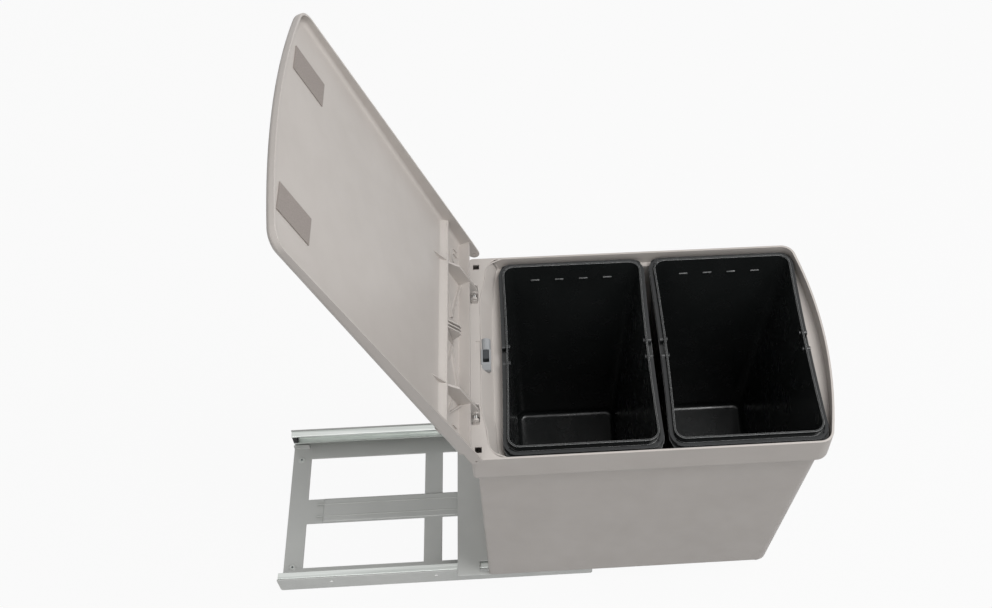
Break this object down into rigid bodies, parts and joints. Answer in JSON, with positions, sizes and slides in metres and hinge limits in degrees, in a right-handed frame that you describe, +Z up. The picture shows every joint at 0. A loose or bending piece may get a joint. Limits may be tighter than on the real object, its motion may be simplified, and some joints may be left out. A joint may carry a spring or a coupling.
{
  "type": "pull out waste bin unit",
  "caption": "Floor-mounted pull-out kitchen waste unit: steel base frame with ball-bearing slides, tapered plastic tub with hinged lid, and lift-out bins with folding handles.",
  "frame": {"origin": "centre of the floor screw pattern on the underside of the base frame, at the cabinet floor", "axes": "+Z up, -Y the way the tub pulls out, X across the cabinet; the tub is pulled out and the lid is open at rest"},
  "size_m": [0.316, 0.7515, 0.826],
  "materials": {
    "painted_steel": "satin",
    "zinc_rail": "bright zinc",
    "cage_steel": "plain",
    "bright_steel": "polished",
    "tub_plastic": "fine grain",
    "pad_grey": "matt",
    "catch_grey": "satin",
    "catch_dark": "matt",
    "bin_plastic": "satin",
    "handle_plastic": "satin",
    "buffer_plastic": "matt"
  },
  "bodies": {
    "frame": {"base_frame": "painted_steel", "cabinet_rail_left": "zinc_rail", "cabinet_rail_right": "zinc_rail", "cabinet_rail_rivets": "bright_steel", "rail_end_stop_left": "buffer_plastic", "rail_end_stop_right": "buffer_plastic"},
    "cage_left": {"ball_cage_left": "cage_steel", "cage_balls_left": "bright_steel"},
    "cage_right": {"ball_cage_right": "cage_steel", "cage_balls_right": "bright_steel"},
    "carriage": {"carriage_plate": "painted_steel", "carriage_bracket_left": "painted_steel", "carriage_bracket_right": "painted_steel", "carriage_rail_left": "zinc_rail", "carriage_rail_right": "zinc_rail", "carriage_rail_rivets": "bright_steel", "tub": "tub_plastic", "tub_screws": "bright_steel", "hinge_pin_left": "bright_steel", "hinge_pin_right": "bright_steel", "catch_housing": "catch_grey"},
    "lid": {"lid": "tub_plastic", "lid_pads": "pad_grey"},
    "catch_slider": {"catch_slider": "catch_dark"},
    "bin_rear": {"bin_rear": "bin_plastic"},
    "bin_front": {"bin_front": "bin_plastic"},
    "bin_rear_handle_left": {"bin_rear_handle_left": "handle_plastic"},
    "bin_rear_handle_right": {"bin_rear_handle_right": "handle_plastic"},
    "bin_front_handle_left": {"bin_front_handle_left": "handle_plastic"},
    "bin_front_handle_right": {"bin_front_handle_right": "handle_plastic"}
  },
  "joints": [
    {"name": "carriage_slide", "type": "slide", "parent": "frame", "child": "carriage", "axis": [0, -1, 0], "range_m": [-0.25, 0]},
    {"name": "cage_left_slide", "type": "slide", "parent": "frame", "child": "cage_left", "axis": [0, -1, 0], "range_m": [-0.125, 0]},
    {"name": "cage_right_slide", "type": "slide", "parent": "frame", "child": "cage_right", "axis": [0, -1, 0], "range_m": [-0.125, 0]},
    {"name": "lid_hinge", "type": "hinge", "parent": "carriage", "child": "lid", "pos_m": [0, -0.083, 0.4065], "axis": [-1, 0, 0], "range_deg": [-111, 0]},
    {"name": "catch_slide", "type": "slide", "parent": "carriage", "child": "catch_slider", "axis": [-1, 0, 0], "range_m": [0, 0.006]},
    {"name": "bin_rear_lift", "type": "slide", "parent": "carriage", "child": "bin_rear", "axis": [0, 0, 1], "range_m": [0, 0.365]},
    {"name": "bin_front_lift", "type": "slide", "parent": "carriage", "child": "bin_front", "axis": [0, 0, 1], "range_m": [0, 0.365]},
    {"name": "bin_rear_handle_left_hinge", "type": "hinge", "parent": "bin_rear", "child": "bin_rear_handle_left", "pos_m": [-0.0125, -0.2105, 0.393], "axis": [0, 1, 0], "range_deg": [0, 90]},
    {"name": "bin_rear_handle_right_hinge", "type": "hinge", "parent": "bin_rear", "child": "bin_rear_handle_right", "pos_m": [0.0125, -0.2105, 0.393], "axis": [0, -1, 0], "range_deg": [0, 90]},
    {"name": "bin_front_handle_left_hinge", "type": "hinge", "parent": "bin_front", "child": "bin_front_handle_left", "pos_m": [-0.0125, -0.41, 0.393], "axis": [0, 1, 0], "range_deg": [0, 90]},
    {"name": "bin_front_handle_right_hinge", "type": "hinge", "parent": "bin_front", "child": "bin_front_handle_right", "pos_m": [0.0125, -0.41, 0.393], "axis": [0, -1, 0], "range_deg": [0, 90]}
  ],
  "couplings": [
    {"joint": "cage_left_slide", "follows": "carriage_slide", "ratio": 0.5},
    {"joint": "cage_right_slide", "follows": "carriage_slide", "ratio": 0.5}
  ]
}
